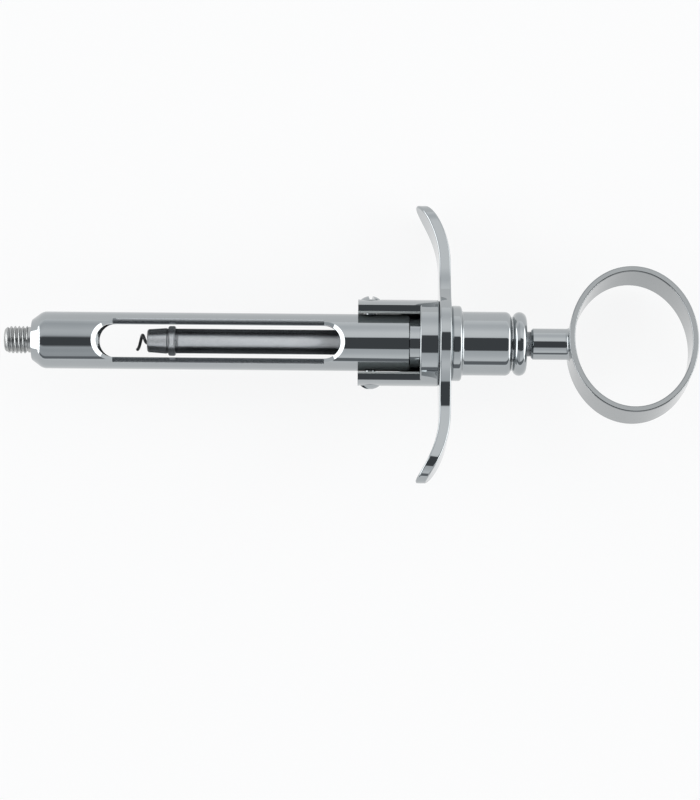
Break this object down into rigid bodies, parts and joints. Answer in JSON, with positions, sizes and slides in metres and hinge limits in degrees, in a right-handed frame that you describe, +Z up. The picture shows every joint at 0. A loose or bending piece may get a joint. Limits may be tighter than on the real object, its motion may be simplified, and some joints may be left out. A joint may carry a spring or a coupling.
{
  "type": "dental cartridge syringe",
  "caption": "Steel breech-loading cartridge syringe with finger wings, thumb ring, windowed barrel and corkscrew plunger hook.",
  "frame": {"origin": "centre of the barrel's nose face, where the needle hub seats", "axes": "+X along the syringe from the needle end to the thumb ring, +Y along the finger wings, +Z up from the table it lies on"},
  "size_m": [0.1503, 0.0606, 0.0242],
  "materials": {
    "polished_steel": "mirror polished stainless steel",
    "adaptor_steel": "bright turned steel, a little matt",
    "plunger_steel": "darker satin steel of the rod's tip",
    "spring_steel": "drawn spring wire",
    "ring_rubber": "black rubber"
  },
  "bodies": {
    "frame": {"barrel": "polished_steel", "needle_adaptor": "adaptor_steel", "fork": "polished_steel", "pivot_screw_top": "polished_steel", "pivot_screw_bottom": "polished_steel", "finger_plate": "polished_steel", "spring_housing": "polished_steel", "lock_spring": "spring_steel"},
    "lock": {"lock_sleeve": "polished_steel", "pull_knob": "polished_steel"},
    "grip": {"friction_ring": "ring_rubber"},
    "plunger": {"piston_rod": "plunger_steel", "hook_holder": "plunger_steel", "corkscrew_hook": "plunger_steel", "thumb_ring": "polished_steel"}
  },
  "joints": [
    {"name": "lock_slide", "type": "slide", "parent": "frame", "child": "lock", "axis": [1, 0, 0], "range_m": [0, 0.0072], "stiffness_N_per_m": 500, "springref_m": -0.008, "deforming": ["lock_spring"]},
    {"name": "plunger_turn", "type": "hinge", "parent": "lock", "child": "grip", "pos_m": [0.10568, 0, 0], "axis": [1, 0, 0], "continuous": true},
    {"name": "plunger_slide", "type": "slide", "parent": "grip", "child": "plunger", "axis": [1, 0, 0], "range_m": [-0.001, 0.0553]}
  ]
}
